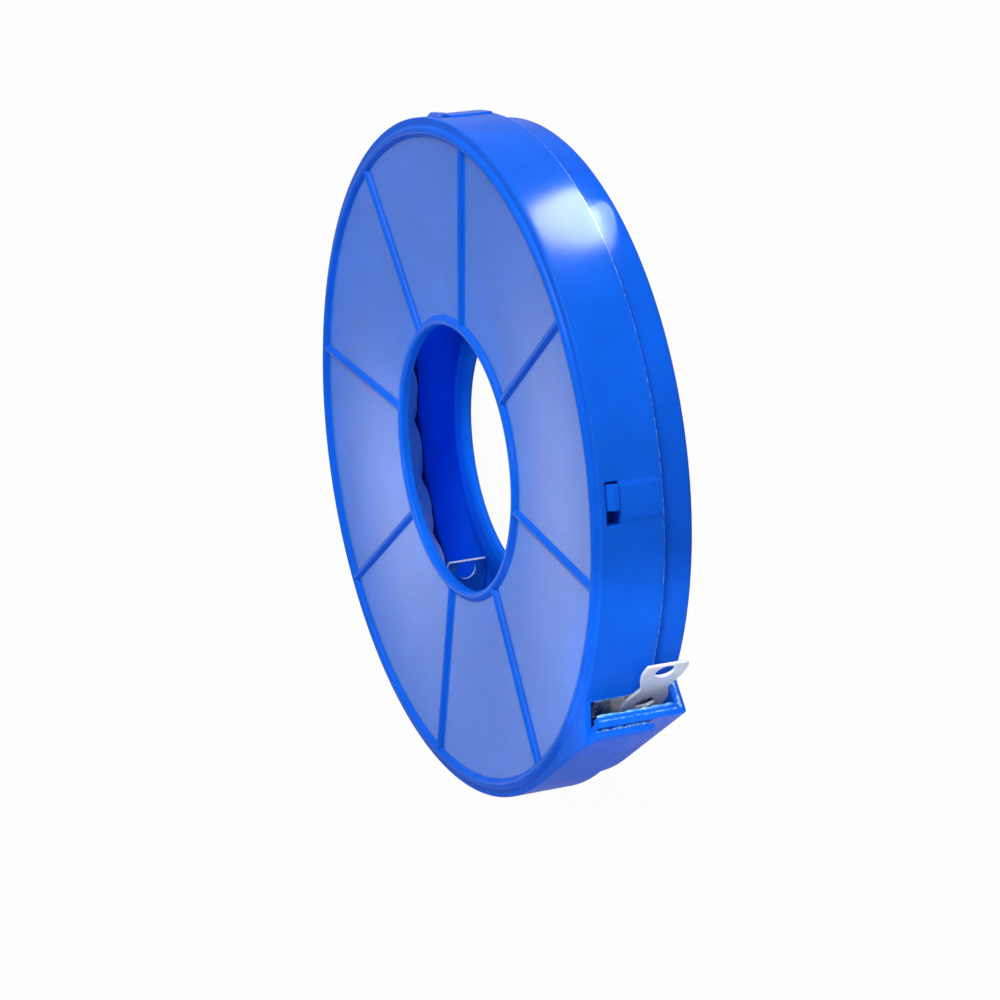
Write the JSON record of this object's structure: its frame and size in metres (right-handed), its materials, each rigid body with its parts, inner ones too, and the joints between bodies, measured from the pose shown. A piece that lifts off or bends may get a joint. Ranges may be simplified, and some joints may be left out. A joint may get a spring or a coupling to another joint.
{
  "type": "perforated steel strap in a dispenser cassette",
  "caption": "Ring-shaped snap-together plastic cassette holding a coil of perforated wave-edged steel strap, whose tail leaves through a tangential nose; lies flat with its ribbed panel up.",
  "frame": {"origin": "on the ring axis, at the floor plane under the back face", "axes": "+Z along the ring axis out of the ribbed front panel; the strap's tail leaves towards +X and -Y"},
  "size_m": [0.182, 0.182, 0.0273],
  "materials": {
    "front_plastic": "glossy rim, fine matt texture on the panels",
    "back_plastic": "glossy moulded polypropylene",
    "zinc_steel": "galvanised, satin"
  },
  "bodies": {
    "root": {"front_shell": "front_plastic", "back_shell": "back_plastic", "strap": "zinc_steel"}
  },
  "joints": []
}
